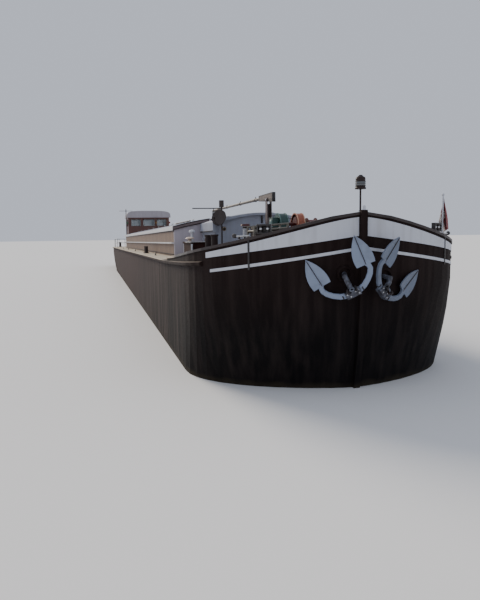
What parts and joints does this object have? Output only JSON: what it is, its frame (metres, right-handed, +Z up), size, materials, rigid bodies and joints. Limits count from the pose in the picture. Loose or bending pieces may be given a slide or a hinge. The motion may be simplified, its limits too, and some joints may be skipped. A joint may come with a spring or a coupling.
{
  "type": "river barge",
  "caption": "Converted river barge with rounded bow, stowed anchors, windlass, lowered mast, arched hold roof and aft wheelhouse.",
  "frame": {"origin": "under the middle of the overall length, on the centre line, at the flat bottom", "axes": "+X towards the bow, +Y to port, +Z up"},
  "size_m": [38.745, 5.05, 5.15],
  "materials": {
    "black": "worn black hull paint",
    "dark_brown": "dark brown paint",
    "board_brown": "brown boards",
    "white": "white paint",
    "grey": "light grey paint",
    "green": "green machinery paint",
    "orange": "orange paint, dark red inside",
    "red_brown": "red-brown paint",
    "steel": "worn steel",
    "bronze": "propeller bronze",
    "glass": "clear",
    "cloth": "woven flag cloth"
  },
  "bodies": {
    "boat": {"anchor_port": "white", "anchor_starboard": "white", "bitts_aft_port": "dark_brown", "bitts_aft_starboard": "dark_brown", "bitts_fore_port": "dark_brown", "bitts_fore_starboard": "dark_brown", "bitts_side_port": "dark_brown", "bitts_side_starboard": "dark_brown", "bow_bulwark": "black", "bow_lantern": "dark_brown", "bow_staff": "dark_brown", "bulwark_cap": "dark_brown", "deck_locker": "dark_brown", "deckhouse_roof": "white", "deckhouse_walls": "white", "dish_aerial": "dark_brown", "engine": "green", "engine_casing": "white", "flag": "cloth", "flagstaff": "white", "foredeck_rack_port": "grey", "foredeck_rack_starboard": "grey", "hawse_pipe_port": "dark_brown", "hawse_pipe_starboard": "dark_brown", "helm_console": "red_brown", "hold_bulkhead_aft": "board_brown", "hold_bulkhead_fore": "white", "hold_coaming_port": "board_brown", "hold_coaming_starboard": "board_brown", "hold_side_port": "board_brown", "hold_side_starboard": "board_brown", "hull": "black", "mast_post": "dark_brown", "roof_panel_1": "white", "roof_panel_2": "white", "roof_panel_3": "white", "roof_panel_4": "white", "roof_panel_5": "white", "rubbing_strake_port": "dark_brown", "rubbing_strake_starboard": "dark_brown", "stem_bar": "dark_brown", "stern_rail": "grey", "vent_post": "white", "wheelhouse_glass_aft": "glass", "wheelhouse_glass_fore": "glass", "wheelhouse_roof": "grey", "wheelhouse_walls": "red_brown", "windlass_frame": "green", "windlass_hood_port": "orange", "windlass_hood_starboard": "green"},
    "rudder": {"rudder": "black"},
    "helm_wheel": {"steering_wheel": "red_brown"},
    "propeller": {"propeller": "bronze"},
    "windlass_shaft": {"windlass_shaft": "steel"},
    "mast": {"mast": "dark_brown"},
    "wheelhouse_door_starboard": {"wheelhouse_door_starboard": "red_brown"},
    "wheelhouse_door_port": {"wheelhouse_door_port": "red_brown"},
    "deckhouse_door": {"deckhouse_door": "white"},
    "engine_hatch": {"engine_hatch": "red_brown"},
    "locker_lid": {"deck_locker_lid": "dark_brown"}
  },
  "joints": [
    {"name": "rudder_swing", "type": "hinge", "parent": "boat", "child": "rudder", "pos_m": [-18.0217, 0, 0.64], "axis": [0, 0, 1], "range_deg": [-60, 60]},
    {"name": "helm_turn", "type": "hinge", "parent": "boat", "child": "helm_wheel", "pos_m": [-14.8382, 0, 3.56], "axis": [1, 0, 0], "range_deg": [-540, 540]},
    {"name": "propeller_spin", "type": "hinge", "parent": "boat", "child": "propeller", "pos_m": [-17.2017, 0, 0.64], "axis": [1, 0, 0], "continuous": true},
    {"name": "windlass_turn", "type": "hinge", "parent": "boat", "child": "windlass_shaft", "pos_m": [16.0618, 0, 3.32], "axis": [0, 1, 0], "continuous": true},
    {"name": "mast_raise", "type": "hinge", "parent": "boat", "child": "mast", "pos_m": [14.2118, 0, 3.935], "axis": [0, 1, 0], "range_deg": [0, 90]},
    {"name": "wheelhouse_door_starboard_swing", "type": "hinge", "parent": "boat", "child": "wheelhouse_door_starboard", "pos_m": [-15.2882, -1.45, 3.6], "axis": [0, 0, 1], "range_deg": [0, 110]},
    {"name": "wheelhouse_door_port_swing", "type": "hinge", "parent": "boat", "child": "wheelhouse_door_port", "pos_m": [-15.2882, 1.45, 3.6], "axis": [0, 0, -1], "range_deg": [0, 110]},
    {"name": "deckhouse_door_swing", "type": "hinge", "parent": "boat", "child": "deckhouse_door", "pos_m": [13.6518, 1.01, 2.92], "axis": [0, 0, 1], "range_deg": [0, 100]},
    {"name": "engine_hatch_lift", "type": "hinge", "parent": "boat", "child": "engine_hatch", "pos_m": [-11.5382, 0.5, 3.0853], "axis": [-1, 0, 0], "range_deg": [0, 95]},
    {"name": "locker_lid_lift", "type": "hinge", "parent": "boat", "child": "locker_lid", "pos_m": [13.7118, -1.53, 2.9703], "axis": [-1, 0, 0], "range_deg": [0, 90]}
  ],
  "couplings": [
    {"joint": "helm_turn", "follows": "rudder_swing", "ratio": 9}
  ]
}
